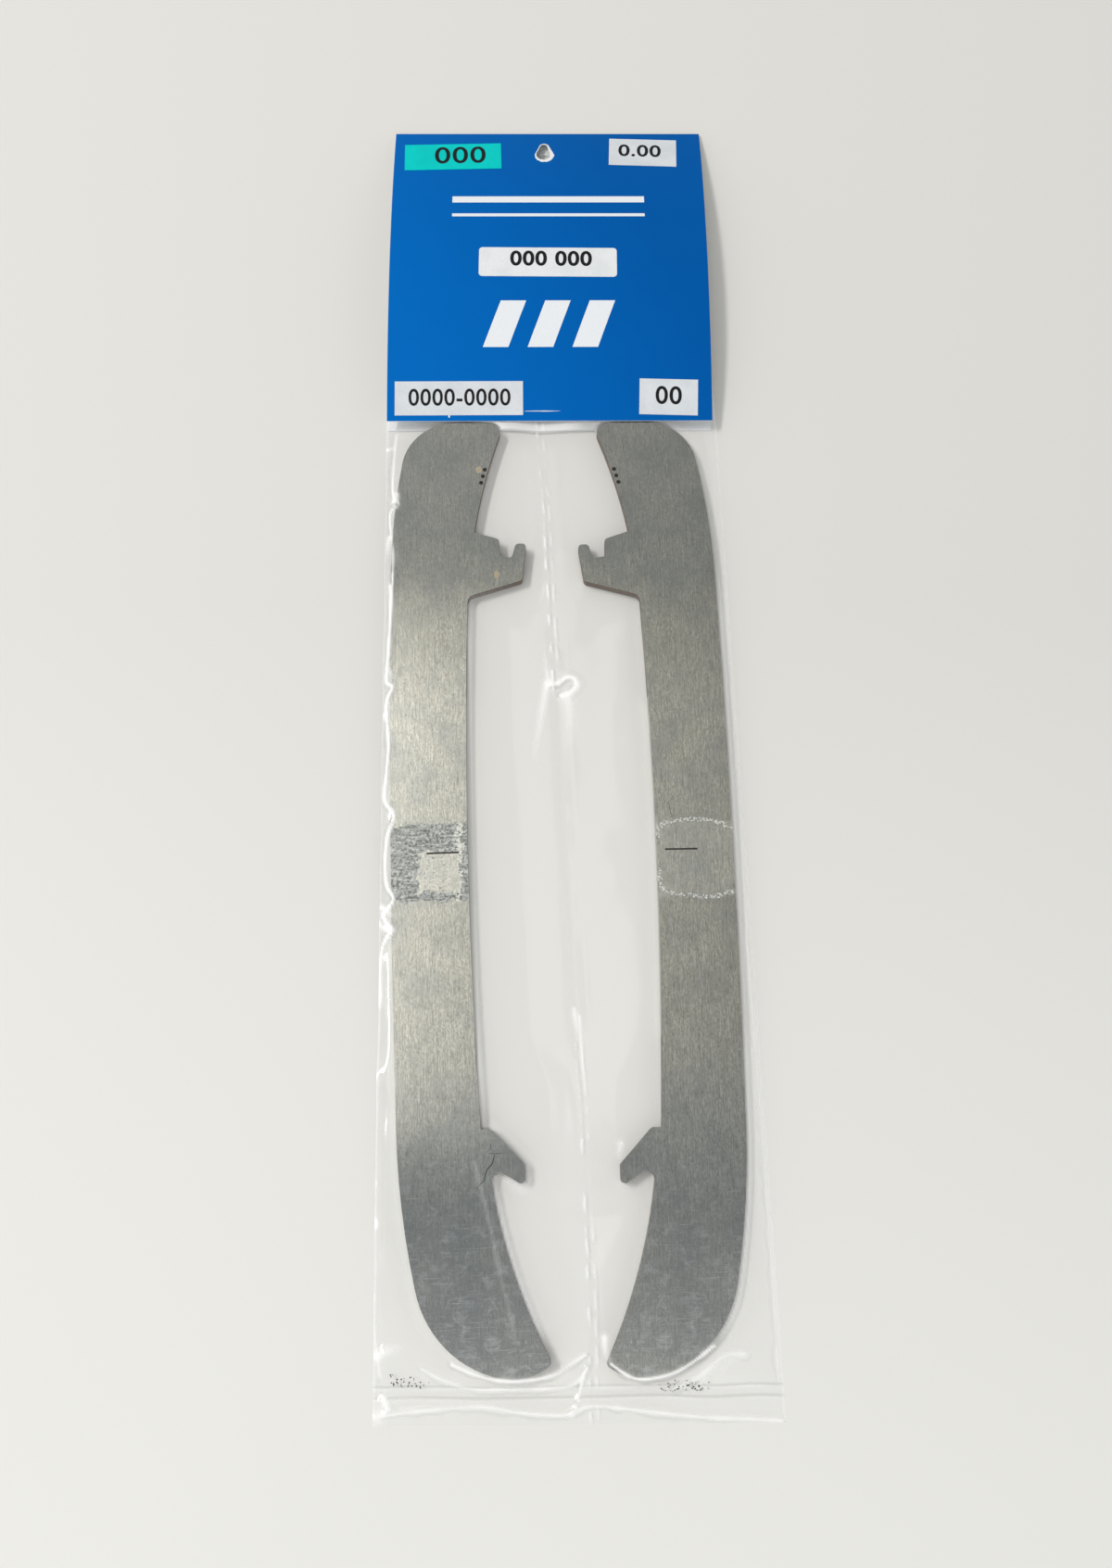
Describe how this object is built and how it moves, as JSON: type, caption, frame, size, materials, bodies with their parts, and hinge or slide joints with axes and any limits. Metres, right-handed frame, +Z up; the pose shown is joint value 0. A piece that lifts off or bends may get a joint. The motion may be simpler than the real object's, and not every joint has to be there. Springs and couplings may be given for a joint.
{
  "type": "hockey skate blade pack",
  "caption": "Hockey skate steels with hooked lugs, held in the pockets of a clear bag that hangs from a folded header card with a hinged front panel and stick-on labels.",
  "frame": {"origin": "middle of the pack's footprint, on the surface it lies on", "axes": "+Y along the pack from the bag's bottom to the card's fold, +Z up from the back panel to the front panel"},
  "size_m": [0.1098, 0.3966, 0.0094],
  "materials": {
    "steel": "brushed along its length, with a hollow-ground running edge",
    "film": "clear heat-sealed polyethylene film",
    "card_inside": "uncoated white side of the card stock",
    "card_print": "satin blue print on card stock",
    "tape": "double-sided tape",
    "teal_paper": "matt teal label",
    "white_paper": "matt white label"
  },
  "bodies": {
    "bag": {"bag_back_film": "film", "bag_front_film": "film", "header_back_panel": "card_inside", "bag_tape": "tape"},
    "card_flap": {"header_front_panel": "card_print", "teal_label": "teal_paper", "height_label": "white_paper", "size_label": "white_paper", "stock_label": "white_paper", "price_label": "white_paper"},
    "left_blade": {"left_blade": "steel"},
    "right_blade": {"right_blade": "steel"}
  },
  "joints": [
    {"name": "card_fold", "type": "hinge", "parent": "bag", "child": "card_flap", "pos_m": [-0.00416, 0.1977, 0.0006], "axis": [-1, 0, 0], "range_deg": [0, 160]},
    {"name": "left_blade_slide", "type": "slide", "parent": "bag", "child": "left_blade", "axis": [0, 1, 0], "range_m": [-0.001, 0.02]},
    {"name": "right_blade_slide", "type": "slide", "parent": "bag", "child": "right_blade", "axis": [0, 1, 0], "range_m": [-0.001, 0.02]}
  ]
}
